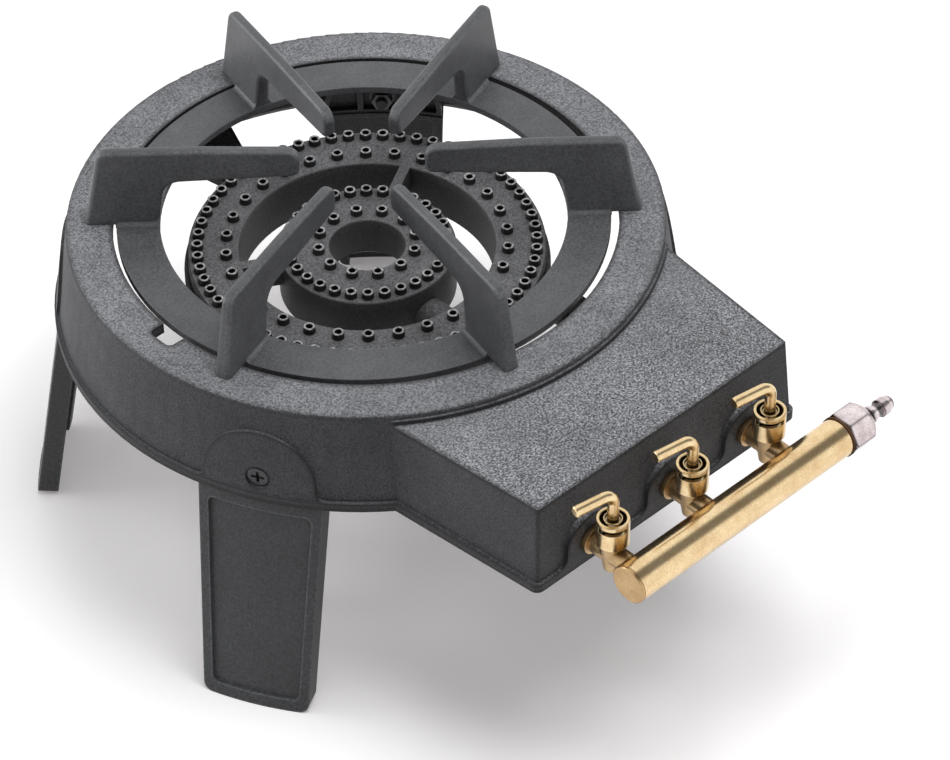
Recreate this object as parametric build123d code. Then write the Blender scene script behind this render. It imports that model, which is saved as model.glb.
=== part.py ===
from build123d import *
import os
from math import atan2, cos, degrees, radians, sin, sqrt, tan

# A cast-iron single gas burner on four legs, with three taps on one manifold.
# Sizes are in millimetres. The burner's axis is vertical, the floor is at zero and the taps face -Y.
# Left and right are as seen from the front, so left is -X.

# Deck and skirt of the cast body
deck_height = 236.0
deck_radius = 200.0
deck_width = 31.0
deck_thickness = 8.0
deck_edge_round = 2.0
skirt_height = 71.0
skirt_flare_width = 10.3
skirt_wall = 4.0
flange_proud = 2.2
flange_height = 6.5
rim_bevel = 4.2
notch_width = 20.0
notch_depth = 12.0
notch_round = 4.0

# Box at the front of the body, which carries the taps
box_reach = 78.7
box_front_half = 112.0
box_splay_angle = 6.0
box_draft_angle = 3.583
box_drop = 6.0
box_roof = 7.0
box_wall = 6.0
box_corner_round = 2.0
box_flange_round = 6.0
step_bead_width = 2.5
step_bead_height = 3.0
tap_boss_half = 20.5
boss_flare_share = 0.7

# Cradle bar and rear lug that carry the burner
cradle_setback = 66.7
cradle_width = 12.0
cradle_height = 13.0
cradle_clearance = 0.15
lug_angle = 6.0
lug_thickness = 7.0
lug_root_half = 30.0
lug_end_half = 12.0

# Legs
front_leg_angle = 62.3
rear_left_leg_angle = 137.0
rear_right_leg_angle = 134.5
leg_top_half = 43.0
leg_foot_half = 37.0
leg_splay = 27.2
leg_set_in = 2.0
leg_thickness = 14.0
leg_border = 9.0
leg_side_border = 7.0
leg_panel_depth = 2.2
leg_panel_round = 5.0
leg_pocket_depth = 8.0
leg_ledge = 4.0
leg_corner_round = 7.0
leg_tongue_half = 42.0
leg_tongue_height = 47.0
leg_tongue_thickness = 8.5
leg_tongue_clearance = 0.2
leg_tongue_border = 3.5
leg_tongue_pocket = 4.5
leg_tongue_rib = 4.0
leg_tongue_bay = 14.0
leg_bay_sill = 3.0
leg_seat_radius = 9.5
leg_seat_height = 0.6
leg_pad_half = 38.5
leg_pad_straight = 7.5

# Leg screws
leg_screw_height = 18.0
leg_screw_radius = 4.0
leg_screw_head_radius = 7.6
leg_screw_head_height = 4.2
leg_screw_sink = 0.7
leg_screw_end = 3.0
cross_width = 1.7
cross_span = 8.6
cross_depth = 2.6
leg_washer_radius = 8.5
leg_washer_thickness = 1.6
leg_nut_flats = 13.0
leg_nut_height = 6.5
screw_clearance = 0.5
thread_clearance = 0.05

# Pan support
pan_ring_gap = 3.9
pan_ring_width = 29.1
pan_ring_thickness = 5.0
pan_ring_sink = 0.6
pan_offset = 2.0
pan_offset_angle = 96.0
blade_count = 6
blade_first_angle = 18.2
blade_height = 59.0
blade_top_thickness = 7.4
blade_base_thickness = 11.4
blade_edge_round = 3.0
blade_land_width = 1.8
blade_land_rise = 0.05
blade_foot_overhang = 16.5
blade_outer_lean = 11.5
blade_tip_radius = 40.5
blade_tip_round = 9.0
blade_tip_drop = 2.5
blade_tip_depth = 21.0
blade_tip_lean = 1.5
blade_tip_low_round = 5.0
blade_arm_depth = 26.5
blade_heel_inset = 0.4
blade_heel_lean = 5.0
blade_inner_round = 13.0
blade_shoulder_round = 8.0
blade_root_round = 4.0
blade_root_bite = 0.2
blade_lap = 0.4

# Burner head
burner_drop = 27.0
head_thickness = 6.0
outer_ring_inner_radius = 86.0
outer_ring_outer_radius = 120.5
inner_ring_inner_radius = 25.5
inner_ring_outer_radius = 60.0
head_edge_chamfer = 0.8
bar_angle = 30.0
bar_width = 7.0
jet_height = 5.0
jet_base_radius = 4.4
jet_top_radius = 3.7
jet_hole_radius = 2.4
jet_row_1_radius = 114.1
jet_row_1_count = 60
jet_row_2_radius = 94.9
jet_row_2_count = 30
jet_row_3_radius = 53.8
jet_row_3_count = 30
jet_row_4_radius = 33.3
jet_row_4_count = 12

# Burner bowl
bowl_depth = 28.0
bowl_wall = 4.0
bowl_floor = 5.0
lip_proud = 3.0
lip_drop = 14.0
lip_height = 5.0
bowl_bar_depth = 14.0
bore_flare_height = 6.5
bore_flare_width = 7.0
ear_reach = 29.5
ear_drop = 24.0
ear_thickness = 8.0
tube_radius = 13.0
tube_bore_radius = 9.5
mouth_radius = 17.0
mouth_length = 12.0
mouth_setback = 34.7

# Screws of the burner
head_screw_radius = 2.5
head_screw_head_radius = 4.6
head_screw_head_height = 3.2
head_screw_bite = 4.5
head_post_radius = 6.0
head_screw_outer_angles = (45.0, 135.0, 195.0, 345.0)
head_screw_inner_angles = (90.0, 210.0, 330.0)
burner_screw_radius = 4.0
burner_screw_flats = 13.0
burner_screw_head_height = 5.3
burner_screw_bite = 6.0

# Taps
tap_pitch = 71.0
tap_offset = 18.5
flow_drop = 52.5
barrel_radius = 9.4
barrel_end_radius = 5.6
barrel_below_flow = 12.5
barrel_above_flow = 10.5
spigot_radius = 8.4
spigot_height = 4.0
collar_radius = 9.8
collar_thickness = 4.0
shank_radius = 8.0
shank_neck_radius = 7.6
shank_end = 4.0
branch_radius = 7.0
branch_length = 27.2
braze_gap = 0.05
flow_bore_radius = 2.8

# Plug, gland and lever of a tap
plug_low_radius = 3.6
plug_top_radius = 6.0
plug_below_flow = 8.5
plug_clearance = 0.05
shoulder_radius = 6.5
shoulder_height = 5.0
stem_radius = 4.4
stem_height = 9.5
gland_radius = 10.85
gland_cavity_radius = 8.5
gland_height = 20.0
gland_floor_height = 7.0
gland_floor_thickness = 2.5
spring_washer_radius = 6.3
stop_pin_radius = 1.2
stop_pin_reach = 9.9
stop_pin_drop = 5.0
stop_slot_height = 3.8
stop_slot_margin = 12.0
tap_turn = 90.0
hub_radius = 6.3
hub_height = 10.0
hub_lift = 0.3
hub_recess_radius = 5.2
hub_recess_depth = 1.4
seat_clearance = 0.02
lever_radius = 3.8
lever_drop = 1.0
lever_reach = 30.0
lever_bend = 8.0
lever_skew = 9.0
lever_end_round = 1.2

# Lock nut and injector of a tap
lock_nut_flats = 24.0
lock_nut_height = 7.0
injector_radius = 5.0
injector_tail = 6.0
injector_flats = 12.0
injector_hex_height = 4.0
injector_nose = 5.0
injector_nose_radius = 2.6
injector_bore_radius = 2.0
injector_hole_radius = 0.6

# Manifold and inlet
manifold_radius = 13.5
manifold_bore_radius = 10.0
manifold_left = 82.4
manifold_right = 108.0
port_radius = 4.0
end_plug_radius = 13.3
end_plug_thickness = 2.2
end_plug_tail = 8.0
inlet_washer_radius = 14.3
inlet_washer_thickness = 1.6
inlet_nut_flats = 27.5
inlet_nut_length = 21.5
inlet_nut_tail = 11.0
barb_tail_radius = 6.0
barb_tail = 10.0
barb_neck_radius = 4.9
barb_ridge_radius = 6.2
barb_length = 26.5
barb_bore_radius = 3.2

# Sizes that follow from the ones above
base_height = deck_height - skirt_height
opening_radius = deck_radius - deck_width
skirt_base_radius = deck_radius + skirt_flare_width
skirt_slope = skirt_flare_width / skirt_height
leg_foot_radius = skirt_base_radius + leg_splay
box_front = deck_radius + box_reach
box_top = deck_height - box_drop
box_draft = (box_top - base_height) * tan(radians(box_draft_angle))
boss_front = box_front + box_draft + flange_proud
box_inner_front = box_front - box_wall
box_root = deck_radius * 0.75
cradle_from_axis = box_front - cradle_setback
mouth_from_axis = box_inner_front - mouth_setback
boss_foot = base_height + flange_height
flow_height = deck_height - flow_drop
head_top = deck_height - burner_drop
head_base = head_top - head_thickness
bowl_base = head_base - bowl_depth
lip_top = head_top - lip_drop
ear_base = head_top - ear_drop - ear_thickness
ear_radius = outer_ring_outer_radius + ear_reach
screw_height = base_height + leg_screw_height
tap_front = boss_front + tap_offset
manifold_front = tap_front + branch_length
tap_positions = {"left": -tap_pitch, "middle": 0.0, "right": tap_pitch}
leg_angles = {
    "front_left": -front_leg_angle,
    "front_right": front_leg_angle,
    "rear_left": -rear_left_leg_angle,
    "rear_right": rear_right_leg_angle,
}
bar_angles = (bar_angle, 180 - bar_angle)
channel_middle = (outer_ring_inner_radius + outer_ring_outer_radius) / 2
inner_channel_middle = (inner_ring_inner_radius + inner_ring_outer_radius) / 2

# The part's frame stands on the floor under the middle of its outline
front_reach = manifold_front + max(manifold_radius, inlet_washer_radius, inlet_nut_flats / sqrt(3))
rear_reach = skirt_base_radius + flange_proud
frame_shift = (front_reach - rear_reach) / 2


def skirt_radius(height):
    return deck_radius + (deck_height - height) * skirt_slope


def ring(inner, outer, low, high):
    return Pos(0, 0, low) * extrude(Circle(outer) - Circle(inner), high - low)


def disc(radius, low, high):
    return Pos(0, 0, low) * extrude(Circle(radius), high - low)


def turned(points, arc=360.0):
    # A profile of radius and height pairs, turned about the vertical axis
    return revolve(Plane.XZ * make_face(Polyline(*points, close=True)), Axis.Z, revolution_arc=arc)


def towards_front(face, start, reach):
    # A face drawn as width and height, pushed from one distance in front of the axis to another
    plane = Plane(origin=(0, -start, 0), x_dir=(1, 0, 0), z_dir=(0, -1, 0))
    return extrude(plane * face, reach - start)


def through_skirt(face):
    return towards_front(face, deck_radius / 2, 2 * deck_radius)


def outwards(part, distance, height):
    # A part built along +Z, set on a horizontal line to the front
    return Pos(0, -distance, height) * Rot(90, 0, 0) * part


def backwards(part, distance, height):
    # A part built along +Z, set on a horizontal line to the rear
    return Pos(0, -distance, height) * Rot(-90, 0, 0) * part


def hexagon(flats, low, high):
    return Pos(0, 0, low) * extrude(RegularPolygon(flats / sqrt(3), 6), high - low)


def box_outline(grow, corner):
    front = box_front + grow
    half = box_front_half + grow
    root_half = half + (front - box_root) * tan(radians(box_splay_angle))
    corners = [(-half, -front), (half, -front), (root_half, -box_root), (-root_half, -box_root)]
    face = make_face(Polyline(*corners, close=True))
    return fillet(face.vertices().group_by(Axis.Y)[0], corner)


def arch(half, straight, low):
    # A round-topped outline with straight sides
    top = low + straight
    face = Pos(0, (low + top) / 2) * Rectangle(2 * half, straight)
    return face + Pos(0, top) * Circle(half)


def bell(half, middle):
    # An arch about a given height, whose foot runs out in two concave flares
    low = boss_foot
    flare = boss_flare_share * (middle - low)
    foot = half + flare
    inset = flare * (1 - cos(radians(45)))
    outline = [
        Line((-foot, low), (foot, low)),
        ThreePointArc((foot, low), (half + inset, low + inset), (half, low + flare)),
        Line((half, low + flare), (half, middle)),
        ThreePointArc((half, middle), (0, middle + half), (-half, middle)),
        Line((-half, middle), (-half, low + flare)),
        ThreePointArc((-half, low + flare), (-half - inset, low + inset), (-foot, low)),
    ]
    return make_face(outline)


def skirt_solid(grow):
    top = deck_height
    return turned([
        (0, base_height),
        (skirt_radius(base_height) + grow, base_height),
        (skirt_radius(top) + grow, top),
        (0, top),
    ])


def body_outside():
    profile = make_face(Polyline(
        (0, base_height),
        (skirt_base_radius + flange_proud, base_height),
        (skirt_base_radius + flange_proud, base_height + flange_height),
        (skirt_radius(base_height + flange_height), base_height + flange_height),
        (deck_radius, deck_height),
        (0, deck_height),
        close=True,
    ))
    rim = profile.vertices().sort_by_distance((deck_radius, deck_height))[0]
    profile = fillet(rim, deck_edge_round)
    shape = revolve(Plane.XZ * profile, Axis.Z)
    low = Pos(0, 0, base_height) * box_outline(box_draft, box_corner_round)
    high = Pos(0, 0, box_top) * box_outline(0, box_corner_round)
    shape += loft([low, high], ruled=True)
    shape += Pos(0, 0, base_height) * extrude(box_outline(box_draft + flange_proud, box_flange_round),
                                              flange_height)
    bead = ring(deck_radius - 10, deck_radius + step_bead_width, box_top - 1, box_top + step_bead_height)
    bead &= Pos(0, 0, base_height) * extrude(box_outline(0, box_corner_round), skirt_height)
    shape += bead
    pad = through_skirt(bell(leg_pad_half, boss_foot + leg_pad_straight))
    pad &= skirt_solid(flange_proud)
    shape += [Rot(0, 0, angle) * pad for angle in leg_angles.values()]
    boss = towards_front(bell(tap_boss_half, flow_height), box_inner_front, boss_front)
    shape += [Pos(x, 0, 0) * boss for x in tap_positions.values()]
    return shape


def body_inside():
    roof = deck_height - deck_thickness
    room = turned([
        (0, base_height),
        (skirt_radius(base_height) - skirt_wall + rim_bevel, base_height),
        (skirt_radius(boss_foot) - skirt_wall, boss_foot),
        (skirt_radius(roof) - skirt_wall, roof),
        (0, roof),
    ])
    room += disc(opening_radius, roof, deck_height)
    room += Pos(0, 0, base_height) * extrude(box_outline(-box_wall, box_corner_round / 2),
                                             box_top - box_roof - base_height)
    return room


def at_lug(part):
    return Rot(0, 0, -lug_angle) * Pos(0, ear_radius, 0) * part


def rear_lug():
    # A flared shelf that ends in the flange, with a post that stands under the ear of the burner
    length = rear_reach - ear_radius
    face = make_face(Polyline((-lug_end_half, 0), (lug_end_half, 0), (lug_root_half, length),
                              (-lug_root_half, length), close=True))
    shelf = Pos(0, 0, base_height) * extrude(face, lug_thickness)
    lug = at_lug(shelf + disc(lug_end_half, base_height, ear_base))
    return lug & skirt_solid(0.75 * flange_proud)


def cradle():
    # A bar across the box with a round seat for each mixing tube
    half = box_front_half + (box_front - cradle_from_axis) * tan(radians(box_splay_angle))
    bar = Pos(0, base_height + cradle_height / 2) * Rectangle(2 * half - box_wall, cradle_height)
    for x in tap_positions.values():
        bar -= Pos(x, flow_height) * Circle(tube_radius + cradle_clearance)
    return towards_front(bar, cradle_from_axis - cradle_width / 2, cradle_from_axis + cradle_width / 2)


def leg_screw_seat():
    return skirt_radius(screw_height) + flange_proud - leg_screw_sink


def body():
    shape = body_outside() - body_inside()
    shape += rear_lug()
    shape += cradle()
    notch_end = opening_radius + notch_depth
    notch = Rectangle(notch_depth + 20, notch_width)
    notch = fillet(notch.vertices().group_by(Axis.X)[0], notch_round)
    notch = Pos(-notch_end + (notch_depth + 20) / 2, 0) * notch
    shape -= Pos(0, 0, deck_height - deck_thickness - 1) * extrude(notch, deck_thickness + 2)
    seat = leg_screw_seat()
    sink = Pos(0, 0, -leg_screw_head_height) * Cone(
        leg_screw_radius + screw_clearance, leg_screw_head_radius + screw_clearance,
        leg_screw_head_height, align=(Align.CENTER, Align.CENTER, Align.MIN))
    sink += disc(leg_screw_head_radius + screw_clearance, 0, 20)
    sink += disc(leg_screw_radius + screw_clearance, -40, 0)
    shape -= [Rot(0, 0, angle) * outwards(sink, seat, screw_height) for angle in leg_angles.values()]
    hole = disc(shank_radius + screw_clearance, -40, 40)
    shape -= [Pos(x, 0, 0) * outwards(hole, box_front, flow_height) for x in tap_positions.values()]
    return shape - at_lug(disc(burner_screw_radius + screw_clearance, base_height - 1, ear_base + 1))


def leg_half(height):
    return leg_foot_half + (leg_top_half - leg_foot_half) * height / base_height


def leg_face():
    face = make_face(Polyline((-leg_foot_half, 0), (leg_foot_half, 0), (leg_top_half, base_height),
                              (-leg_top_half, base_height), close=True))
    return fillet(face.vertices().group_by(Axis.Y)[0], leg_corner_round)


def leg_panel_face():
    low = leg_border
    high = base_height - leg_border
    low_half = leg_half(low) - leg_side_border
    high_half = leg_half(high) - leg_side_border
    face = make_face(Polyline((-low_half, low), (low_half, low), (high_half, high), (-high_half, high),
                              close=True))
    return fillet(face.vertices(), leg_panel_round)


def leg_pocket_face():
    # The inner face is hollow between the two side walls, and open at the foot
    low = -leg_border
    high = base_height - leg_ledge
    low_half = leg_half(low) - leg_side_border
    high_half = leg_half(high) - leg_side_border
    face = make_face(Polyline((-low_half, low), (low_half, low), (high_half, high), (-high_half, high),
                              close=True))
    return fillet(face.vertices().group_by(Axis.Y)[-1], leg_panel_round)


def leg_layer(outer, inner):
    # A conical layer of the leg, between two depths under its outer face
    top_radius = skirt_base_radius + flange_proud - leg_set_in
    return turned([
        (leg_foot_radius - inner, 0),
        (leg_foot_radius - outer, 0),
        (top_radius - outer, base_height),
        (top_radius - inner, base_height),
    ])


def tongue_radius(height):
    return skirt_radius(height) - skirt_wall - leg_tongue_clearance


def leg_nut_seat():
    return tongue_radius(screw_height) - leg_tongue_thickness - leg_seat_height


def tongue_layer(outer, inner, low, high):
    # A conical layer of the tongue, between two depths under its outer face
    return turned([
        (tongue_radius(low) - inner, low),
        (tongue_radius(low) - outer, low),
        (tongue_radius(high) - outer, high),
        (tongue_radius(high) - inner, high),
    ])


def leg_tongue():
    # The part of the leg that stands inside the skirt, with two ribs between three bays
    low = base_height - leg_tongue_height / 2
    high = base_height + leg_tongue_height
    straight = leg_tongue_height * 1.5 - leg_tongue_half
    shape = tongue_layer(0, leg_tongue_thickness, low, high)
    shape &= through_skirt(arch(leg_tongue_half, straight, low))
    bays = arch(leg_tongue_half - leg_tongue_border, straight, low)
    sill = base_height + leg_bay_sill
    bays -= Pos(0, sill - leg_tongue_height) * Rectangle(4 * leg_tongue_half, 2 * leg_tongue_height)
    rib = leg_tongue_bay + leg_tongue_rib / 2
    for x in (-rib, rib):
        bays -= Pos(x, base_height) * Rectangle(leg_tongue_rib, 4 * leg_tongue_height)
    depth = leg_tongue_thickness - leg_tongue_pocket
    cut = tongue_layer(depth, leg_tongue_thickness + 1, base_height - 1, high)
    return shape - [cut & through_skirt(bay) for bay in bays.faces()]


def leg():
    shape = leg_layer(0, leg_thickness) & through_skirt(leg_face())
    shape -= leg_layer(-1, leg_panel_depth) & through_skirt(leg_panel_face())
    inside = leg_layer(leg_thickness - leg_pocket_depth, leg_thickness + 1)
    shape -= inside & through_skirt(leg_pocket_face())
    seat = leg_nut_seat()
    boss = disc(leg_seat_radius, 0, leg_seat_height + leg_tongue_thickness * 0.7)
    shape += leg_tongue() + outwards(boss, seat, screw_height)
    hole = disc(leg_screw_radius + screw_clearance, -20, 40)
    return shape - outwards(hole, seat, screw_height)


def leg_screw():
    low = leg_nut_seat() - leg_washer_thickness - leg_nut_height - leg_screw_end - leg_screw_seat()
    shape = Pos(0, 0, -leg_screw_head_height) * Cone(
        leg_screw_radius, leg_screw_head_radius, leg_screw_head_height,
        align=(Align.CENTER, Align.CENTER, Align.MIN))
    shape += disc(leg_screw_radius, low, -leg_screw_head_height)
    slot = Pos(0, 0, -cross_depth / 2) * Box(cross_span, cross_width, cross_depth)
    shape -= slot + Rot(0, 0, 90) * slot
    return outwards(shape, leg_screw_seat(), screw_height)


def leg_washer():
    shape = ring(leg_screw_radius + screw_clearance, leg_washer_radius, -leg_washer_thickness, 0)
    return outwards(shape, leg_nut_seat(), screw_height)


def leg_nut():
    high = -leg_washer_thickness
    shape = hexagon(leg_nut_flats, high - leg_nut_height, high)
    shape -= disc(leg_screw_radius + thread_clearance, high - leg_nut_height, high)
    return outwards(shape, leg_nut_seat(), screw_height)


def pan_ring_outer():
    return opening_radius - pan_ring_gap


def pan_ring_inner():
    return pan_ring_outer() - pan_ring_width


def blade_half(height):
    # The blades are thinner at the top
    share = (height - deck_height) / blade_height
    return (blade_base_thickness + (blade_top_thickness - blade_base_thickness) * share) / 2


def blade_shoulder():
    return opening_radius + blade_foot_overhang - blade_outer_lean


def blade_flat_end():
    return (blade_shoulder() + blade_tip_radius) / 2


def blade_profile():
    top = deck_height + blade_height
    ring_top = deck_height - pan_ring_sink
    root = ring_top - pan_ring_thickness / 2
    foot = opening_radius + blade_foot_overhang
    shoulder = blade_shoulder()
    root_end = foot + blade_outer_lean * (deck_height - root) / blade_height
    flat_end = blade_flat_end()
    tip_top = top - blade_tip_drop
    tip_low = tip_top - blade_tip_depth
    under = top - blade_arm_depth
    heel = pan_ring_inner() + blade_heel_inset
    heel_top = heel - blade_heel_lean
    heel_root = heel + blade_heel_lean * (ring_top - root) / (under - ring_top)
    face = make_face(Polyline(
        (heel_root, root),
        (root_end, root),
        (shoulder, top),
        (flat_end, top),
        (blade_tip_radius, tip_top),
        (blade_tip_radius + blade_tip_lean, tip_low),
        (heel_top, under),
        close=True,
    ))
    rounds = [
        ((shoulder, top), blade_shoulder_round),
        ((blade_tip_radius, tip_top), blade_tip_round),
        ((blade_tip_radius + blade_tip_lean, tip_low), blade_tip_low_round),
        ((heel_top, under), blade_inner_round),
    ]
    for corner, radius in rounds:
        face = fillet(face.vertices().sort_by_distance(corner)[0], radius)
    return face


def blade_side():
    # The +Y half of a blade, leaned in so that the blade is thinner at the top
    slab = extrude(Plane.XZ * blade_profile(), blade_base_thickness)
    outside = slab.faces().sort_by(Axis.Y)[-1]
    above = [edge for edge in outside.edges() if edge.center().Z > deck_height]
    slab = fillet(above, blade_edge_round)
    top = deck_height + blade_height
    lean = degrees(atan2(blade_base_thickness - blade_top_thickness, 2 * blade_height))
    slab = Rot(lean, 0, 0) * Pos(0, blade_edge_round, -top) * slab
    slab = Pos(0, blade_half(top) - blade_edge_round, top - blade_land_rise) * slab
    return split(slab, Plane.XZ, keep=Keep.BOTTOM)


def blade_land():
    # A narrow flat along the outer half of the top edge, which pans stand on
    top = deck_height + blade_height
    start = blade_flat_end() + blade_land_width
    length = blade_shoulder() - blade_shoulder_round - start
    bar = Box(length, blade_land_width, blade_edge_round)
    return Pos(start + length / 2, 0, top - blade_edge_round / 2) * bar


def blade():
    # The foot stands flat on the deck, outside the ring
    side = blade_side()
    edge = pan_ring_outer() + blade_lap
    deck = ring(edge, deck_radius, deck_height - pan_ring_thickness, deck_height)
    return side + mirror(side, Plane.XZ) + blade_land() - deck


def blade_root():
    # A concave round on top of the ring, along both sides of a blade
    base = deck_height - pan_ring_sink - blade_root_bite
    size = blade_root_round
    half = blade_half(base + size) - blade_root_bite
    inset = size * (1 - cos(radians(45)))
    outline = [
        Line((-half - size, base - 1), (half + size, base - 1)),
        Line((half + size, base - 1), (half + size, base)),
        ThreePointArc((half + size, base), (half + inset, base + inset), (half, base + size)),
        Line((half, base + size), (-half, base + size)),
        ThreePointArc((-half, base + size), (-half - inset, base + inset), (-half - size, base)),
        Line((-half - size, base), (-half - size, base - 1)),
    ]
    shape = extrude(Plane.YZ * make_face(outline), deck_radius)
    inner = pan_ring_inner() + blade_heel_inset
    return shape & ring(inner, pan_ring_outer() - blade_lap, base - 1, base + size)


def pan_support():
    # One casting, laid on the deck a little to one side of the middle
    top = deck_height - pan_ring_sink
    shape = ring(pan_ring_inner(), pan_ring_outer(), top - pan_ring_thickness, top)
    one = blade() + blade_root()
    step = 360 / blade_count
    shape += [Rot(0, 0, blade_first_angle + step * i) * one for i in range(blade_count)]
    aside = radians(pan_offset_angle)
    return Pos(pan_offset * cos(aside), pan_offset * sin(aside), 0) * shape


def jet_rows():
    # The two middle rows stand half a step round from the front
    return [
        (jet_row_1_radius, jet_row_1_count, -90.0),
        (jet_row_2_radius, jet_row_2_count, -90.0 + 180 / jet_row_2_count),
        (jet_row_3_radius, jet_row_3_count, -90.0 + 180 / jet_row_3_count),
        (jet_row_4_radius, jet_row_4_count, -90.0),
    ]


def head_plate(inner, outer):
    cut = head_edge_chamfer
    return turned([
        (inner, head_base),
        (outer, head_base),
        (outer, head_top - cut),
        (outer - cut, head_top),
        (inner + cut, head_top),
        (inner, head_top - cut),
    ])


def ring_bar(angle, low, high):
    # A straight bar between the inner and the outer ring
    inner = inner_ring_outer_radius - bowl_wall / 2
    outer = outer_ring_inner_radius + bowl_wall / 2
    face = Pos((inner + outer) / 2, 0) * Rectangle(outer - inner, bar_width)
    return Rot(0, 0, angle) * Pos(0, 0, low) * extrude(face, high - low)


def head_screw_spots():
    spots = [(channel_middle, angle) for angle in head_screw_outer_angles]
    return spots + [(inner_channel_middle, angle) for angle in head_screw_inner_angles]


def burner_head():
    shape = head_plate(outer_ring_inner_radius, outer_ring_outer_radius)
    shape += head_plate(inner_ring_inner_radius, inner_ring_outer_radius)
    shape += [ring_bar(angle, head_base, head_top) for angle in bar_angles]
    jet = Pos(0, 0, head_top - 1) * Cone(jet_base_radius, jet_top_radius, jet_height + 1,
                                         align=(Align.CENTER, Align.CENTER, Align.MIN))
    hole = disc(jet_hole_radius, head_base - 1, head_top + jet_height + 1)
    spots = []
    for radius, count, first in jet_rows():
        spots += list(PolarLocations(radius, count, start_angle=first))
    shape += [spot * jet for spot in spots]
    shape -= [spot * hole for spot in spots]
    tapping = disc(head_screw_radius + thread_clearance, head_base, head_base + head_screw_bite)
    for radius, angle in head_screw_spots():
        shape -= Rot(0, 0, angle) * Pos(radius, 0, 0) * tapping
    return shape


def mixing_tube(end):
    shape = outwards(disc(tube_radius, 0, mouth_from_axis - end), end, flow_height)
    bell = Pos(0, 0, -mouth_length) * Cone(tube_radius, mouth_radius, mouth_length,
                                           align=(Align.CENTER, Align.CENTER, Align.MIN))
    return shape + outwards(bell, mouth_from_axis, flow_height)


def tube_bore(end):
    bore = outwards(disc(tube_bore_radius, 0, mouth_from_axis - end), end, flow_height)
    wall = tube_radius - tube_bore_radius
    bell = Pos(0, 0, -mouth_length) * Cone(tube_bore_radius, mouth_radius - wall / 2, mouth_length,
                                           align=(Align.CENTER, Align.CENTER, Align.MIN))
    return bore + outwards(bell, mouth_from_axis, flow_height)


def side_tube_end():
    # Distance in front of the axis at which a side tube meets the middle of the outer channel
    return sqrt(channel_middle ** 2 - tap_pitch ** 2)


def burner_ear():
    length = ear_reach + bowl_wall / 2
    face = Pos(0, -length / 2) * Rectangle(2 * lug_end_half, length) + Circle(lug_end_half)
    return at_lug(Pos(0, 0, ear_base) * extrude(face, ear_thickness))


def burner_bowl():
    floor = bowl_base + bowl_floor
    outer = outer_ring_outer_radius
    inner = outer_ring_inner_radius
    side_end = side_tube_end()
    shape = ring(inner, outer, bowl_base, head_base)
    shape += ring(outer - 1, outer + lip_proud, lip_top - lip_height, lip_top)
    shape += [Pos(x, 0, 0) * mixing_tube(side_end - tube_bore_radius) for x in (-tap_pitch, tap_pitch)]
    shape -= ring(inner + bowl_wall, outer - bowl_wall, floor, head_base)
    shape -= disc(inner, bowl_base - 20, head_base)
    core = ring(inner_ring_inner_radius, inner_ring_outer_radius, bowl_base, head_base)
    core += mixing_tube(inner_channel_middle - tube_bore_radius)
    core -= ring(inner_ring_inner_radius + bowl_wall, inner_ring_outer_radius - bowl_wall, floor, head_base)
    core -= disc(inner_ring_inner_radius, bowl_base - 20, head_base)
    core -= turned([
        (0, bowl_base),
        (inner_ring_inner_radius + bore_flare_width, bowl_base),
        (inner_ring_inner_radius, bowl_base + bore_flare_height),
        (0, bowl_base + bore_flare_height),
    ])
    shape += core
    shape += [ring_bar(angle, head_base - bowl_bar_depth, head_base) for angle in bar_angles]
    for radius, angle in head_screw_spots():
        shape += Rot(0, 0, angle) * Pos(radius, 0, 0) * disc(head_post_radius, bowl_base, head_base)
    shape += burner_ear()
    shape -= [Pos(x, 0, 0) * tube_bore(side_end) for x in (-tap_pitch, tap_pitch)]
    shape -= tube_bore(inner_channel_middle)
    screw_way = disc(head_screw_radius + screw_clearance / 2, bowl_base - 1, head_base + 1)
    for radius, angle in head_screw_spots():
        shape -= Rot(0, 0, angle) * Pos(radius, 0, 0) * screw_way
    return shape - at_lug(disc(burner_screw_radius + thread_clearance, ear_base - 1,
                               ear_base + burner_screw_bite))


def head_screws():
    shape = disc(head_screw_radius, bowl_base, head_base + head_screw_bite - 0.5)
    shape += disc(head_screw_head_radius, bowl_base - head_screw_head_height, bowl_base)
    slot = Box(3 * head_screw_head_radius, 1.2, 1.2)
    shape -= Pos(0, 0, bowl_base - head_screw_head_height) * slot
    return [Rot(0, 0, angle) * Pos(radius, 0, 0) * shape for radius, angle in head_screw_spots()]


def burner_screw():
    shape = disc(burner_screw_radius, base_height, ear_base + burner_screw_bite - 0.5)
    shape += hexagon(burner_screw_flats, base_height - burner_screw_head_height, base_height)
    return at_lug(shape)


def plug_radius(height):
    share = (height + plug_below_flow) / (plug_below_flow + barrel_above_flow)
    return plug_low_radius + (plug_top_radius - plug_low_radius) * share


# The pieces of a tap are built about its own axis, with height zero on the flow line

def shoulder_top():
    return barrel_above_flow + shoulder_height


def gland_floor():
    return barrel_above_flow + gland_floor_height


def stem_top():
    return shoulder_top() + stem_height


def stop_pin_height():
    return barrel_above_flow + gland_height - stop_pin_drop


def wall_thickness():
    return boss_front - box_inner_front


def shank_length():
    return tap_offset + wall_thickness() + lock_nut_height + shank_end


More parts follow.
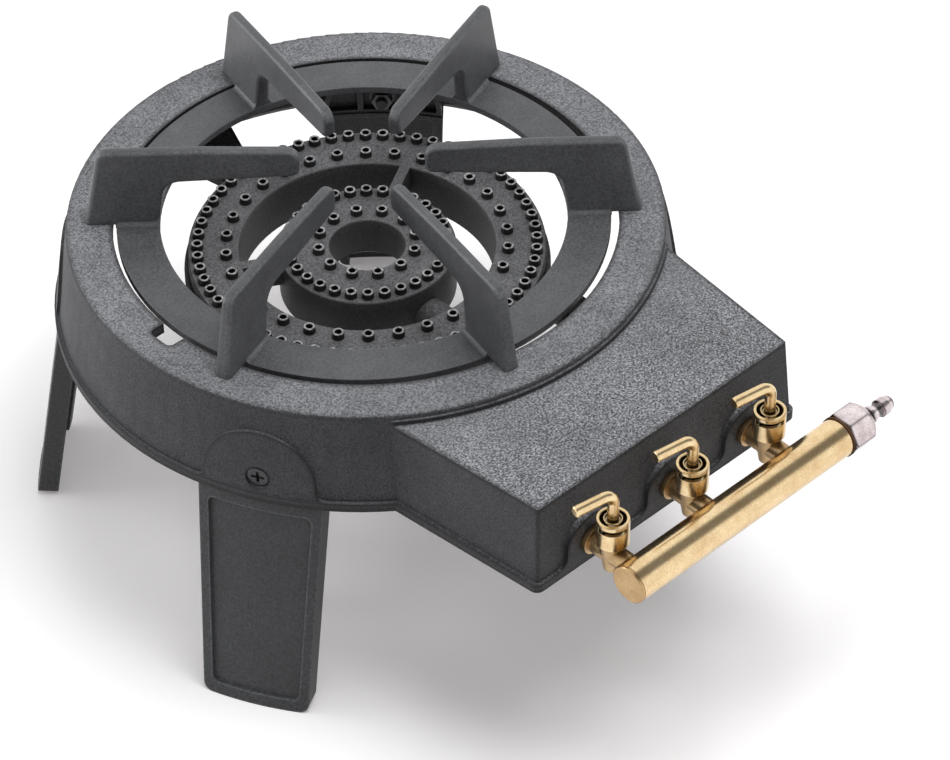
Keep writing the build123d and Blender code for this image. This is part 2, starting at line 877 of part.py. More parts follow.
def valve_body():
    shape = turned([
        (0, -barrel_below_flow),
        (barrel_end_radius, -barrel_below_flow),
        (barrel_radius, barrel_above_flow),
        (spigot_radius, barrel_above_flow),
        (spigot_radius, barrel_above_flow + spigot_height),
        (0, barrel_above_flow + spigot_height),
    ])
    shape += backwards(disc(shank_neck_radius, 0, tap_offset), 0, 0)
    shape += backwards(disc(collar_radius, tap_offset - collar_thickness, tap_offset), 0, 0)
    shape += backwards(disc(shank_radius, tap_offset - 1, shank_length()), 0, 0)
    branch = outwards(disc(branch_radius, 0, branch_length), 0, 0)
    saddle = Pos(0, -branch_length, 0) * Rot(0, 90, 0) * Cylinder(manifold_radius + braze_gap, 60)
    shape += branch - saddle
    shape -= outwards(disc(flow_bore_radius, -shank_length(), branch_length), 0, 0)
    low = -plug_below_flow - 1
    shape -= turned([
        (0, low),
        (plug_radius(low) + plug_clearance, low),
        (plug_radius(barrel_above_flow) + plug_clearance, barrel_above_flow),
        (0, barrel_above_flow),
    ])
    shape -= disc(shoulder_radius + plug_clearance, barrel_above_flow, barrel_above_flow + spigot_height)
    shape -= backwards(disc(injector_radius + thread_clearance, shank_length() - injector_tail - 1,
                            shank_length()), 0, 0)
    return shape


def gland_nut():
    low = barrel_above_flow
    high = low + gland_height
    floor = gland_floor()
    shape = disc(gland_radius, low, high)
    shape -= disc(spigot_radius + thread_clearance, low, low + spigot_height)
    shape -= disc(gland_cavity_radius, low + spigot_height, floor)
    shape -= disc(stem_radius + plug_clearance, floor, floor + gland_floor_thickness)
    shape -= disc(gland_cavity_radius, floor + gland_floor_thickness, high)
    middle = stop_pin_height()
    slot = turned([
        (gland_cavity_radius - 1, middle - stop_slot_height / 2),
        (gland_radius + 1, middle - stop_slot_height / 2),
        (gland_radius + 1, middle + stop_slot_height / 2),
        (gland_cavity_radius - 1, middle + stop_slot_height / 2),
    ], tap_turn + 2 * stop_slot_margin)
    rim = shape.edges().filter_by(GeomType.CIRCLE).group_by(Axis.Z)[-1]
    shape = chamfer(rim, 0.4)
    return shape - Rot(0, 0, 180 - stop_slot_margin) * slot


def tap_plug():
    top = shoulder_top()
    shape = turned([
        (0, -plug_below_flow),
        (plug_radius(-plug_below_flow), -plug_below_flow),
        (plug_radius(barrel_above_flow), barrel_above_flow),
        (shoulder_radius, barrel_above_flow),
        (shoulder_radius, top),
        (stem_radius, top),
        (stem_radius, stem_top()),
        (0, stem_top()),
    ])
    return shape - Rot(0, 90, 0) * Cylinder(flow_bore_radius, 40)


def sideways_left(part, distance):
    # A part built along +Z, laid towards -X at the height of the stop pin
    return Pos(-distance, 0, stop_pin_height()) * Rot(0, -90, 0) * part


def stop_pin():
    start = stem_radius + 0.3
    return sideways_left(disc(stop_pin_radius, 0, stop_pin_reach - start), start)


def spring_washer():
    return ring(stem_radius + 4 * plug_clearance, spring_washer_radius, shoulder_top(), gland_floor())


def lever_hub():
    low = gland_floor() + gland_floor_thickness + hub_lift
    high = low + hub_height
    shape = disc(hub_radius, low, high)
    shape -= disc(stem_radius + seat_clearance, low, stem_top())
    shape -= disc(lever_radius + seat_clearance, stem_top(), high)
    shape -= disc(hub_recess_radius, high - hub_recess_depth, high)
    rim = shape.edges().filter_by(GeomType.CIRCLE).group_by(Axis.Z)[-1]
    shape = chamfer(rim, 0.3)
    return shape - sideways_left(disc(stop_pin_radius + seat_clearance, 0, hub_radius), stem_radius)


def tap_lever():
    low = stem_top() + 0.2
    high = flow_drop - lever_drop
    path = FilletPolyline((0, 0, low), (0, 0, high), (-lever_reach, 0, high), radius=lever_bend)
    start = Plane(origin=path @ 0, z_dir=path % 0)
    shape = sweep(start * Circle(lever_radius), path=path)
    end = shape.faces().sort_by(Axis.X)[0]
    shape = fillet(end.edges(), lever_end_round)
    return Rot(0, 0, -lever_skew) * shape


def lock_nut():
    low = tap_offset + wall_thickness()
    shape = hexagon(lock_nut_flats, low, low + lock_nut_height)
    shape -= disc(shank_radius + thread_clearance, low, low + lock_nut_height)
    return backwards(shape, 0, 0)


def injector():
    start = shank_length()
    hex_end = start + injector_hex_height
    shape = disc(injector_radius, start - injector_tail, start)
    shape += hexagon(injector_flats, start, hex_end)
    shape += Pos(0, 0, hex_end) * Cone(injector_radius, injector_nose_radius, injector_nose,
                                       align=(Align.CENTER, Align.CENTER, Align.MIN))
    shape -= disc(injector_bore_radius, start - injector_tail, hex_end + injector_nose - 2)
    shape -= disc(injector_hole_radius, hex_end, hex_end + injector_nose)
    return backwards(shape, 0, 0)


def at_tap(part, x):
    return Pos(x, -tap_front, flow_height) * part


# The pieces of the manifold are built along +Z and laid along X

def along_manifold(part):
    return Pos(0, -manifold_front, flow_height) * Rot(0, 90, 0) * part


def manifold_tube():
    shape = along_manifold(ring(manifold_bore_radius, manifold_radius, -manifold_left, manifold_right))
    port = backwards(disc(port_radius, 0, manifold_radius + 2), manifold_front, flow_height)
    return shape - [Pos(x, 0, 0) * port for x in tap_positions.values()]


def end_plug():
    low = -manifold_left - end_plug_thickness
    shape = disc(end_plug_radius, low, -manifold_left)
    rim = shape.edges().group_by(Axis.Z)[0]
    shape = chamfer(rim, 0.5)
    tail = disc(manifold_bore_radius - thread_clearance, -manifold_left, -manifold_left + end_plug_tail)
    return along_manifold(shape + tail)


def inlet_washer():
    high = manifold_right + inlet_washer_thickness
    return along_manifold(ring(manifold_bore_radius + 0.3, inlet_washer_radius, manifold_right, high))


def inlet_nut():
    low = manifold_right + inlet_washer_thickness
    high = low + inlet_nut_length
    corner = inlet_nut_flats / sqrt(3)
    shape = Rot(0, 0, 30) * hexagon(inlet_nut_flats, low, high)
    crown = turned([
        (0, low),
        (corner - 1.0, low),
        (corner, low + 1.2),
        (corner, high - 4.5),
        (corner - 3.6, high),
        (0, high),
    ])
    shape &= crown
    shape += disc(manifold_bore_radius - thread_clearance, low - inlet_nut_tail, low)
    shape -= disc(barb_tail_radius + thread_clearance, high - barb_tail, high)
    shape -= disc(barb_bore_radius, low - inlet_nut_tail, high)
    return along_manifold(shape)


def hose_barb():
    start = manifold_right + inlet_washer_thickness + inlet_nut_length
    end = start + barb_length
    neck = barb_neck_radius
    ridge = barb_ridge_radius
    pitch = barb_length / 4
    shape = turned([
        (0, start - barb_tail),
        (barb_tail_radius, start - barb_tail),
        (barb_tail_radius, start),
        (neck, start),
        (neck, start + 0.8 * pitch),
        (ridge, start + 0.9 * pitch),
        (ridge, start + 1.2 * pitch),
        (neck, start + 1.8 * pitch),
        (neck, start + 2.3 * pitch),
        (ridge, start + 2.4 * pitch),
        (ridge, start + 3.2 * pitch),
        (neck, end - 1.2),
        (neck - 1.0, end),
        (0, end),
    ])
    return along_manifold(shape - disc(barb_bore_radius, start - barb_tail, end))


def assembly():
    parts = {"body": body()}
    one_leg = leg()
    for name, angle in leg_angles.items():
        parts["leg_" + name] = Rot(0, 0, angle) * one_leg
    turns = [Rot(0, 0, angle) for angle in leg_angles.values()]
    parts["leg_screws"] = Compound(children=[turn * leg_screw() for turn in turns])
    parts["leg_washers"] = Compound(children=[turn * leg_washer() for turn in turns])
    parts["leg_nuts"] = Compound(children=[turn * leg_nut() for turn in turns])
    parts["pan_support"] = pan_support()
    parts["burner_head"] = burner_head()
    parts["burner_bowl"] = burner_bowl()
    parts["head_screws"] = Compound(children=head_screws())
    parts["burner_screw"] = burner_screw()
    single = {
        "valve_body": valve_body(),
        "gland_nut": gland_nut(),
        "tap_plug": tap_plug(),
        "stop_pin": stop_pin(),
        "lever_hub": lever_hub(),
        "tap_lever": tap_lever(),
        "spring_washer": spring_washer(),
        "lock_nut": lock_nut(),
        "injector": injector(),
    }
    for side, x in tap_positions.items():
        for name, shape in single.items():
            parts[name + "_" + side] = at_tap(shape, x)
    parts["manifold_tube"] = manifold_tube()
    parts["end_plug"] = end_plug()
    parts["inlet_washer"] = inlet_washer()
    parts["inlet_nut"] = inlet_nut()
    parts["hose_barb"] = hose_barb()
    return parts


os.makedirs("parts", exist_ok=True)
for node, shape in assembly().items():
    export_step(Pos(0, frame_shift, 0) * shape, "parts/" + node + ".step")
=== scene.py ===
import math

import bpy
from mathutils import Matrix, Vector

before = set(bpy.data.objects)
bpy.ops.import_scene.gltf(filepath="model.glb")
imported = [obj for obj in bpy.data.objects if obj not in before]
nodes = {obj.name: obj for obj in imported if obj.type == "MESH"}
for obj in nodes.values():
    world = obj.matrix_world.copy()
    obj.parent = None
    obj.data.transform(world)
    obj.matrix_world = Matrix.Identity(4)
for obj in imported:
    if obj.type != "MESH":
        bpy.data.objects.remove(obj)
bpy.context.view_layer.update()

scene = bpy.context.scene


def span(node, axis):
    """Lowest and highest place of a node along an axis of the frame, in metres."""
    places = [vertex.co["XYZ".index(axis)] for vertex in nodes[node].data.vertices]
    return min(places), max(places)


# Places that the finishes and the camera follow, in metres

MM = 0.001
JET_HEIGHT = 5 * MM
HEAD_BASE, JET_TOP = span("burner_head", "Z")
HEAD_TOP = JET_TOP - JET_HEIGHT
DECK_TOP = span("body", "Z")[1]
AXIS_Y = sum(span("burner_head", "Y")) / 2

# Where the body's round ring passes into the box, on the Y axis, and half the length of the change

BOX_BACK = -0.14
BOX_CHANGE = 0.03

# How far from the middle the floor shows the object's shadow in full

SHADOW_REACH = 0.42

# Faces that meet at more than this are shaded with a sharp edge

SHARP_ANGLE = math.radians(28)

# Sockets of a colour Mix node, whose names aren't unique

MIX_FACTOR, MIX_A, MIX_B, MIX_RESULT = 0, 6, 7, 2

WHITE = (1.0, 1.0, 1.0)

# Shader building blocks


class Tree:
    """A material's node tree, with short ways to add and join nodes."""

    # Ranges of a node's output that the marks follow
    MOST_NOISE = (0.3, 0.7)
    ALL_NOISE = (0.28, 0.72)
    CORNER_LIGHT = (0.15, 0.8)
    RIDGE_LIGHT = (0.68, 0.97)
    EDGE_DOT = (0.86, 0.995)

    def __init__(self, name):
        self.material = bpy.data.materials.new(name)
        self.material.use_nodes = True
        self.tree = self.material.node_tree
        self.tree.nodes.clear()
        self.out = self.add("ShaderNodeOutputMaterial")
        self.shader = self.add("ShaderNodeBsdfPrincipled")
        self.join(self.shader, "BSDF", self.out, "Surface")
        self.place = self.add("ShaderNodeTexCoord")

    def add(self, kind, **values):
        node = self.tree.nodes.new(kind)
        for key, value in values.items():
            setattr(node, key, value)
        return node

    def join(self, a, a_out, b, b_in):
        self.tree.links.new(a.outputs[a_out], b.inputs[b_in])

    def set(self, **values):
        """Plain values for the shader's own sockets, with spaces in their names as underscores."""
        for key, value in values.items():
            self.shader.inputs[key.replace("_", " ")].default_value = value

    def noise(self, scale, detail=4.0, rough=0.6):
        """Noise with about scale cells a metre."""
        node = self.add("ShaderNodeTexNoise")
        node.inputs["Scale"].default_value = scale
        node.inputs["Detail"].default_value = detail
        node.inputs["Roughness"].default_value = rough
        self.join(self.place, "Object", node, "Vector")
        return node

    def spread(self, source, socket, low, high, start=0.0, end=1.0):
        """The source's range from start to end, laid over low to high."""
        node = self.add("ShaderNodeMapRange")
        node.inputs["From Min"].default_value = start
        node.inputs["From Max"].default_value = end
        node.inputs["To Min"].default_value = low
        node.inputs["To Max"].default_value = high
        self.join(source, socket, node, "Value")
        return node

    def blend(self, mode, factor, a, b):
        """Mix of two colours. Each of factor, a and b is a value or a (node, socket) pair."""
        node = self.add("ShaderNodeMix", data_type="RGBA", blend_type=mode)
        for index, value in ((MIX_FACTOR, factor), (MIX_A, a), (MIX_B, b)):
            if isinstance(value, tuple) and hasattr(value[0], "outputs"):
                self.tree.links.new(value[0].outputs[value[1]], node.inputs[index])
            elif isinstance(value, float):
                node.inputs[index].default_value = value
            else:
                node.inputs[index].default_value = (*value, 1)
        return node, MIX_RESULT

    def times(self, base, node):
        """A colour times a Map Range node's result."""
        return self.blend("MULTIPLY", 1.0, base, (node, "Result"))

    def corner_shade(self, reach, low):
        """Painted shade: from low in closed-in corners and slots up to 1 on open faces."""
        node = self.add("ShaderNodeAmbientOcclusion", samples=8)
        node.inputs["Distance"].default_value = reach
        return self.spread(node, "AO", low, 1.0, *self.CORNER_LIGHT)

    def ridge(self, reach, edge):
        """From edge on outer edges, rounded ones too, to 1 on open faces."""
        node = self.add("ShaderNodeAmbientOcclusion", samples=8, inside=True, only_local=True)
        node.inputs["Distance"].default_value = reach
        return self.spread(node, "AO", edge, 1.0, *self.RIDGE_LIGHT)

    def along(self, axis, start, end):
        """Up from 0 to 1 between two places on an axis of the frame."""
        parts = self.add("ShaderNodeSeparateXYZ")
        self.join(self.place, "Object", parts, "Vector")
        return self.spread(parts, axis, 0.0, 1.0, start, end)

    def height(self, start, end):
        return self.along("Z", start, end)

    def facing_up(self, start=0.75, end=0.95):
        """Up from 0 to 1 as faces turn upwards, between two values of the normal's Z."""
        geometry = self.add("ShaderNodeNewGeometry")
        parts = self.add("ShaderNodeSeparateXYZ")
        self.join(geometry, "Normal", parts, "Vector")
        return self.spread(parts, "Z", 0.0, 1.0, start, end)

    def soft_edges(self, radius):
        """Normals that turn over an edge as if it were rounded."""
        node = self.add("ShaderNodeBevel", samples=6)
        node.inputs["Radius"].default_value = radius
        return node

    def edge_mask(self, bevel):
        """1 where the rounded normal turns away from the flat one, at the edges."""
        geometry = self.add("ShaderNodeNewGeometry")
        dot = self.add("ShaderNodeVectorMath", operation="DOT_PRODUCT")
        self.join(bevel, "Normal", dot, 0)
        self.join(geometry, "Normal", dot, 1)
        return self.spread(dot, "Value", 1.0, 0.0, *self.EDGE_DOT)

    def bump(self, source, socket, strength, distance, under):
        """Relief of a height in metres, over the normals of the node under it."""
        node = self.add("ShaderNodeBump")
        node.inputs["Strength"].default_value = strength
        node.inputs["Distance"].default_value = distance
        self.join(source, socket, node, "Height")
        self.join(under, "Normal", node, "Normal")
        return node

    def finish(self, base):
        """The material, with base as its colour."""
        self.join(*base, self.shader, "Base Color")
        return self.material


def iron(name, tone, wall, grain, contrast, depth, roughness, gloss, wear, dirt):
    """Cast iron: a sand-cast grain, broad patches, dark corners and marked edges.

    tone is the colour of faces that look up. The walls' share of it is painted light and shade, walls
    lighter or darker than the tops as the light falls on them. grain is in cells a metre, contrast is its
    share of the tone and depth the height of its bump. roughness and gloss are the shader's own. The share
    of the tone at an edge lightens it above 1, as worn paint and a painted highlight, and darkens it below
    1. The share in a closed-in corner is painted shade.
    Returns the tree and the colour so far, for marks of a casting's own.
    """
    t = Tree(name)
    t.set(Metallic=0.0, Specular_IOR_Level=gloss)
    sand = t.noise(grain, detail=1.0)
    bevel = t.soft_edges(1.1 * MM)
    edge = t.edge_mask(bevel)
    speckle = t.spread(sand, "Fac", 1.0 - contrast, 1.0 + contrast, *t.ALL_NOISE)
    speckle = t.blend("MIX", (edge, "Result"), (speckle, "Result"), WHITE)
    base = t.blend("MULTIPLY", 1.0, tone, speckle)
    # Painted light and shade: walls lighter or darker than the tops, as the light falls on them
    base = t.times(base, t.spread(t.facing_up(), "Result", wall, 1.0))
    base = t.times(base, t.spread(t.noise(14.0), "Fac", 0.84, 1.16, *t.MOST_NOISE))
    base = t.times(base, t.spread(t.noise(70.0, detail=3.0), "Fac", 0.9, 1.1, *t.MOST_NOISE))
    # Edges lighter above 1, as worn paint and a painted highlight, and darker below 1
    base = t.times(base, t.spread(edge, "Result", 1.0, wear))
    # Painted shade in closed-in corners and slots
    base = t.times(base, t.corner_shade(9 * MM, dirt))
    polish = t.spread(sand, "Fac", roughness - 0.08, roughness + 0.1, *t.MOST_NOISE)
    t.join(polish, "Result", t.shader, "Roughness")
    pits = t.bump(sand, "Fac", 0.8, depth, bevel)
    lumps = t.bump(t.noise(90.0), "Fac", 0.4, 0.5 * MM, pits)
    t.join(lumps, "Normal", t.shader, "Normal")
    return t, base


def plain_iron(name, **values):
    """A casting without marks of its own."""
    t, base = iron(name, **values)
    return t.finish(base)


def body_iron(name):
    """The body's casting: outer edges drawn dark, and a box top coarser than the ring."""
    grain = 740.0
    # Walls painted in shade, darker than the tops; edges darker
    t, base = iron(name, tone=(0.182, 0.185, 0.197), wall=0.47, grain=grain, contrast=0.62, depth=0.3 * MM,
                   roughness=0.62, gloss=0.3, wear=0.8, dirt=0.3)
    coarse = t.spread(t.noise(grain, detail=1.0), "Fac", 0.5, 1.5, *t.ALL_NOISE)
    on_box = t.along("Y", BOX_BACK + BOX_CHANGE, BOX_BACK - BOX_CHANGE)
    box_top = t.times((on_box, "Result"), t.facing_up())
    base = t.blend("MULTIPLY", 1.0, base, t.blend("MIX", box_top, WHITE, (coarse, "Result")))
    return t.finish(t.times(base, t.ridge(4 * MM, 0.4)))


def leg_iron(name):
    """The legs' castings: smoother than the body, with outer edges lighter, as rubbed paint and a painted
    highlight.
    """
    t, base = iron(name, tone=(0.062, 0.064, 0.068), wall=1.0, grain=560.0, contrast=0.6, depth=0.2 * MM,
                   roughness=0.5, gloss=0.4, wear=1.0, dirt=0.5)
    # Outer edges lighter: rubbed paint and a painted highlight
    return t.finish(t.times(base, t.ridge(1.5 * MM, 2.3)))


def burner_iron(name):
    """Burner castings: dark jets with rims ground bright, walls darker towards their bottom, and plate edges
    lighter as worn metal and a painted highlight.
    """
    # Walls painted in shade, darker than the tops
    t, base = iron(name, tone=(0.110, 0.111, 0.115), wall=0.66, grain=700.0, contrast=0.55, depth=0.3 * MM,
                   roughness=0.55, gloss=0.35, wear=1.0, dirt=0.25)
    # Walls darker towards their bottom
    lighter_upwards = t.height(HEAD_BASE - 2 * MM, HEAD_TOP - 1.5 * MM)
    base = t.times(base, t.spread(lighter_upwards, "Result", 0.7, 1.0))
    on_jet = t.height(HEAD_TOP + 0.2 * MM, HEAD_TOP + 1.2 * MM)
    base = t.times(base, t.spread(on_jet, "Result", 1.0, 0.22))
    # Plate edges lighter: worn metal and a painted highlight
    scuff_and_highlight = t.spread(t.edge_mask(t.soft_edges(0.8 * MM)), "Result", 0.0, 0.6)
    scuff_and_highlight = t.times((scuff_and_highlight, "Result"), t.height(HEAD_TOP - 1.2 * MM, HEAD_TOP - 0.4 * MM))
    scuff_and_highlight = t.times(scuff_and_highlight, t.height(HEAD_TOP + 0.6 * MM, HEAD_TOP + 0.2 * MM))
    base = t.blend("MIX", scuff_and_highlight, base, (0.30, 0.30, 0.31))
    smear = t.spread(t.noise(420.0, detail=3.0), "Fac", 0.3, 1.0, 0.4, 0.6)
    rim = t.times((smear, "Result"), t.height(JET_TOP - 0.6 * MM, JET_TOP - 0.2 * MM))
    return t.finish(t.blend("MIX", rim, base, (0.46, 0.46, 0.47)))


def bright_metal(name, colour, tarnish, roughness, marks, dirt, dark_edge_reflection=1.0):
    """Brass or plating: tool marks, a cloudy tarnish, undersides darker as painted shade, and painted shade
    in the corners.

    marks is in cells a metre. What a closed-in corner keeps of the colour is painted shade, and what the
    outer edges keep, when less than 1, is a painted dark reflection.
    """
    t = Tree(name)
    t.set(Metallic=1.0)
    cloud = t.noise(70.0, detail=5.0, rough=0.65)
    tooling = t.noise(marks, detail=3.0)
    tarnished = t.spread(cloud, "Fac", 0.0, 1.0, 0.35, 0.75)
    base = t.blend("MIX", (tarnished, "Result"), colour, tarnish)
    base = t.times(base, t.spread(tooling, "Fac", 0.86, 1.08, *t.MOST_NOISE))
    # Painted shade: undersides darker, for the shaded floor that they reflect
    base = t.times(base, t.spread(t.facing_up(-0.7, 0.25), "Result", 0.6, 1.0))
    # Painted shade in closed-in corners and slots
    base = t.times(base, t.corner_shade(6 * MM, dirt))
    bevel = t.soft_edges(0.6 * MM)
    base = t.times(base, t.spread(t.edge_mask(bevel), "Result", 1.0, 0.6))
    # Outer edges darker: a painted dark reflection
    if dark_edge_reflection < 1.0:
        base = t.times(base, t.ridge(2.2 * MM, dark_edge_reflection))
    t.join(t.spread(cloud, "Fac", roughness - 0.06, roughness + 0.12), "Result", t.shader, "Roughness")
    t.join(t.bump(tooling, "Fac", 0.2, 0.1 * MM, bevel), "Normal", t.shader, "Normal")
    return t.finish(base)


def fibre(name):
    """Pressed fibre, as in a sealing washer."""
    t = Tree(name)
    t.set(Roughness=0.75)
    strands = t.noise(900.0, rough=0.7)
    t.join(t.bump(strands, "Fac", 0.4, 0.1 * MM, t.soft_edges(0.3 * MM)), "Normal", t.shader, "Normal")
    return t.finish(t.times((0.10, 0.045, 0.022), t.spread(strands, "Fac", 0.6, 1.5, *t.MOST_NOISE)))


# Finishes of the CAD nodes

looks = {
    "body": body_iron("grainy iron"),
    # Satin walls painted lighter than the tops, and edges lighter as worn paint and a painted highlight
    "satin": plain_iron("satin iron", tone=(0.086, 0.088, 0.093), wall=1.5, grain=560.0, contrast=0.25,
                        depth=0.1 * MM, roughness=0.45, gloss=0.45, wear=1.5, dirt=0.35),
    "leg": leg_iron("leg iron"),
    "burner": burner_iron("burner iron"),
    "tube_brass": bright_metal("manifold brass", colour=(0.98, 0.76, 0.45), tarnish=(0.76, 0.52, 0.27),
                               roughness=0.16, marks=900.0, dirt=0.2),
    "tap_brass": bright_metal("tap brass", colour=(0.98, 0.77, 0.46), tarnish=(0.78, 0.55, 0.28),
                              roughness=0.22, marks=700.0, dirt=0.12),
    "cast_brass": bright_metal("cast brass", colour=(0.68, 0.48, 0.26), tarnish=(0.46, 0.30, 0.14),
                               roughness=0.30, marks=500.0, dirt=0.12),
    "turned_brass": bright_metal("turned brass", colour=(0.66, 0.45, 0.23), tarnish=(0.50, 0.32, 0.15),
                                 roughness=0.24, marks=900.0, dirt=0.2),
    "plated": bright_metal("bright plating", colour=(0.97, 0.87, 0.88), tarnish=(0.50, 0.40, 0.40),
                           roughness=0.12, marks=700.0, dirt=0.15, dark_edge_reflection=0.1),
    "dark_steel": bright_metal("dark steel", colour=(0.16, 0.16, 0.165), tarnish=(0.10, 0.10, 0.10),
                               roughness=0.4, marks=800.0, dirt=0.3),
    # Screw edges drawn dark: painted shade round the head and in its cross recess
    "screw": plain_iron("painted screw", tone=(0.085, 0.087, 0.093), wall=1.0, grain=900.0, contrast=0.4,
                        depth=0.1 * MM, roughness=0.5, gloss=0.4, wear=0.2, dirt=0.2),
    "fibre": fibre("brown fibre"),
}

# How the names of the nodes with each finish begin; the rest are dark steel

WORN_BY = {
    "body": ("body",),
    "satin": ("pan_support",),
    "leg": ("leg_front", "leg_rear"),
    "screw": ("leg_screws",),
    "burner": ("burner_head", "burner_bowl"),
    "cast_brass": ("valve", "injector"),
    "tap_brass": ("gland", "tap", "lever"),
    "tube_brass": ("manifold_tube",),
    "turned_brass": ("end_plug",),
    "plated": ("inlet_nut", "hose_barb"),
    "fibre": ("inlet_washer",),
}


def finish_for(node):
    for finish, beginnings in WORN_BY.items():
        if node.startswith(beginnings):
            return finish
    return "dark_steel"


for name, obj in nodes.items():
    obj.data.materials.clear()
    obj.data.materials.append(looks[finish_for(name)])
    obj.data.shade_smooth()
    obj.data.set_sharp_from_angle(angle=SHARP_ANGLE)

# Floor


def seen_directly(tree):
    """1 for rays from the camera, a mirror or glass, 0 for light that bounces."""
    path = tree.nodes.new("ShaderNodeLightPath")
    total = path.outputs["Is Camera Ray"]
    for kind in ("Is Glossy Ray", "Is Transmission Ray"):
        plus = tree.nodes.new("ShaderNodeMath")
        plus.operation = "ADD"
        plus.use_clamp = True
        tree.links.new(total, plus.inputs[0])
        tree.links.new(path.outputs[kind], plus.inputs[1])
        total = plus.outputs[0]
    return total


def floor_material():
    """White where seen, with the object's shadow in flat grey, and a grey cloth to the light it bounces.

    Away from the object the white is even, whatever light reaches it.
    """
    t = Tree("pale floor")
    t.set(Roughness=0.9, Specular_IOR_Level=0.1)
    cloth = t.times((0.22, 0.22, 0.22), t.spread(t.noise(3.0, detail=3.0, rough=0.5), "Fac", 0.96, 1.04))
    t.join(*cloth, t.shader, "Base Color")
    shade = t.add("ShaderNodeEmission")
    shade.inputs["Color"].default_value = (0.200, 0.188, 0.192, 1)
    pale = t.add("ShaderNodeBsdfDiffuse")
    pale.inputs["Color"].default_value = (0.92, 0.92, 0.92, 1)
    shown = t.add("ShaderNodeAddShader")
    t.join(shade, 0, shown, 0)
    t.join(pale, 0, shown, 1)
    white = t.add("ShaderNodeEmission")
    white.inputs["Color"].default_value = (*WHITE, 1)
    away = t.add("ShaderNodeVectorMath", operation="LENGTH")
    t.join(t.place, "Object", away, 0)
    fade = t.add("ShaderNodeMixShader")
    t.join(t.spread(away, "Value", 0.0, 1.0, SHADOW_REACH, 2 * SHADOW_REACH), "Result", fade, 0)
    t.join(shown, 0, fade, 1)
    t.join(white, 0, fade, 2)
    choose = t.add("ShaderNodeMixShader")
    t.tree.links.new(seen_directly(t.tree), choose.inputs[0])
    t.join(t.shader, 0, choose, 1)
    t.join(fade, 0, choose, 2)
    t.join(choose, 0, t.out, "Surface")
    t.material.cycles.emission_sampling = "NONE"
    return t.material


FLOOR_SIZE = 30
FLOOR_GAP = 0.2 * MM
bpy.ops.mesh.primitive_plane_add(size=FLOOR_SIZE, location=(0, 0, -FLOOR_GAP))
floor = bpy.context.object
floor.name = "floor"
floor.data.materials.append(floor_material())

# Surroundings

world = bpy.data.worlds.new("studio")
scene.world = world
world.use_nodes = True
sky = world.node_tree
sky.nodes.clear()
direction = sky.nodes.new("ShaderNodeTexCoord")
parts = sky.nodes.new("ShaderNodeSeparateXYZ")
sky.links.new(direction.outputs["Generated"], parts.inputs[0])


def greys(axis, low, high, stops):
    """Greys laid along one axis of the direction looked in, from low to high."""
    reach = sky.nodes.new("ShaderNodeMapRange")
    reach.inputs["From Min"].default_value = low
    reach.inputs["From Max"].default_value = high
    sky.links.new(parts.outputs[axis], reach.inputs["Value"])
    ramp = sky.nodes.new("ShaderNodeValToRGB")
    while len(ramp.color_ramp.elements) < len(stops):
        ramp.color_ramp.elements.new(0.5)
    for element, (at, grey) in zip(ramp.color_ramp.elements, stops):
        element.position = at
        element.color = (grey, grey, grey, 1)
    sky.links.new(reach.outputs["Result"], ramp.inputs[0])
    return ramp.outputs[0]


def backdrop(colour):
    node = sky.nodes.new("ShaderNodeBackground")
    sky.links.new(colour, node.inputs["Color"])
    return node.outputs[0]


# What gives light is a dome that is brighter overhead. What is seen, in metal too, is white at the
# horizon, and over it two white screens with a dark gap.
GAP = 0.22
light_dome = greys("Z", 0.0, 1.0, [(0.0, 0.18), (0.45, 0.18), (0.75, 0.45), (1.0, 0.70)])
screens = greys("Y", -1.0, 1.0, [(0.0, 1.0), (0.13, 1.0), (0.20, GAP), (0.43, GAP), (0.55, 1.0), (1.0, 1.0)])
above = greys("Z", 0.0, 1.0, [(0.0, 0.0), (0.15, 0.0), (0.30, 1.0), (1.0, 1.0)])
seen_dome = sky.nodes.new("ShaderNodeMix")
seen_dome.data_type = "RGBA"
sky.links.new(above, seen_dome.inputs[MIX_FACTOR])
seen_dome.inputs[MIX_A].default_value = (*WHITE, 1)
sky.links.new(screens, seen_dome.inputs[MIX_B])
choose = sky.nodes.new("ShaderNodeMixShader")
end = sky.nodes.new("ShaderNodeOutputWorld")
sky.links.new(seen_directly(sky), choose.inputs[0])
sky.links.new(backdrop(light_dome), choose.inputs[1])
sky.links.new(backdrop(seen_dome.outputs[MIX_RESULT]), choose.inputs[2])
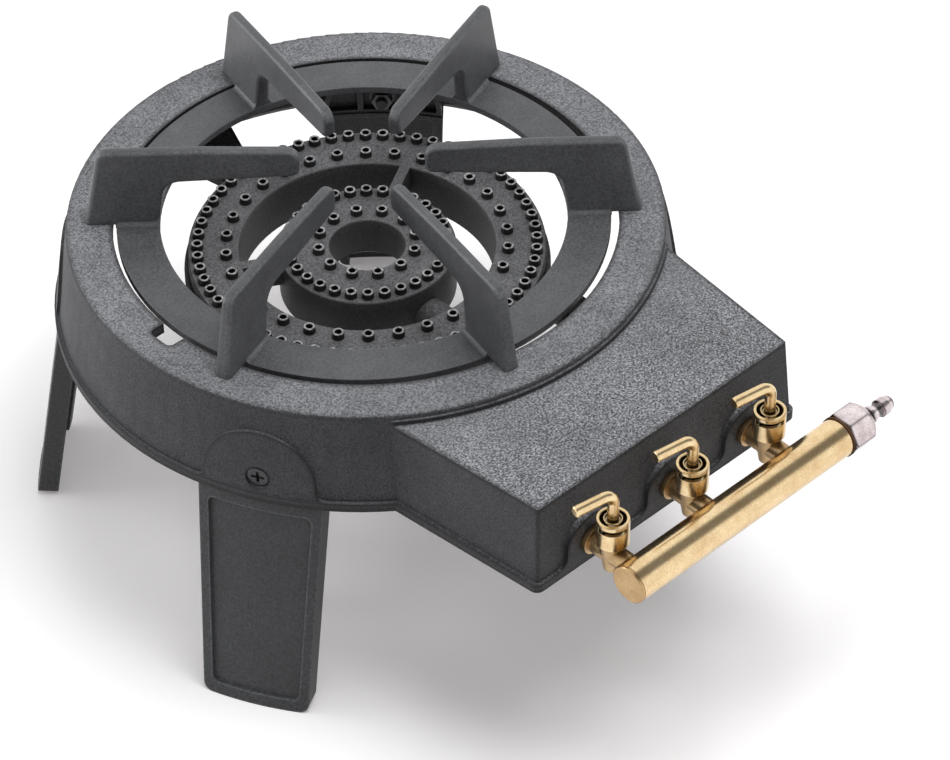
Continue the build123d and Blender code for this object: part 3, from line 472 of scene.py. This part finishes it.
sky.links.new(choose.outputs[0], end.inputs["Surface"])

# Lamps


def lamp(name, place, target, size, watts):
    """A rectangular soft lamp that points at the target."""
    data = bpy.data.lights.new(name, "AREA")
    data.shape = "RECTANGLE"
    data.size, data.size_y = size
    data.energy = watts
    obj = bpy.data.objects.new(name, data)
    scene.collection.objects.link(obj)
    obj.location = place
    obj.rotation_euler = (Vector(target) - Vector(place)).to_track_quat("-Z", "Y").to_euler()
    return obj


MIDDLE = (0, 0.05, 0.2)
overhead = lamp("overhead", place=(0.33, -0.40, 2.8), target=MIDDLE, size=(1.4, 1.4), watts=52)
overhead.visible_glossy = False
lamp("left", place=(-1.50, 1.70, 0.55), target=MIDDLE, size=(1.2, 0.7), watts=20)

# Camera, from the fit to the photo: angles, then metres from the middle of the deck, then pixels

TURN, TILT, ROLL = math.radians(43.296), math.radians(42.342), math.radians(-0.557)
DISTANCE, SHIFT_RIGHT, SHIFT_UP = 2.669, 0.071524, -0.111614
FOCAL_LENGTH, PHOTO_WIDTH = 4000, 950

FILM_WIDTH = 36
FAR = 100

about_axis = Matrix.Rotation(-TURN, 3, "Z")
forward = about_axis @ Vector((0, math.cos(TILT), -math.sin(TILT)))
right = about_axis @ Vector((1, 0, 0))
up = right.cross(forward)
right_rolled = math.cos(ROLL) * right + math.sin(ROLL) * up
up_rolled = -math.sin(ROLL) * right + math.cos(ROLL) * up
deck_middle = Vector((0, AXIS_Y, DECK_TOP))
spot = deck_middle - DISTANCE * forward + SHIFT_RIGHT * right + SHIFT_UP * up
camera = bpy.data.cameras.new("camera")
camera.lens = FOCAL_LENGTH / PHOTO_WIDTH * FILM_WIDTH
camera.sensor_width = FILM_WIDTH
camera.sensor_fit = "HORIZONTAL"
camera.clip_end = FAR
eye = bpy.data.objects.new("camera", camera)
scene.collection.objects.link(eye)
basis = Matrix((right_rolled, up_rolled, -forward)).transposed().to_4x4()
eye.matrix_world = Matrix.Translation(spot) @ basis
scene.camera = eye
scene.view_settings.view_transform = "Standard"
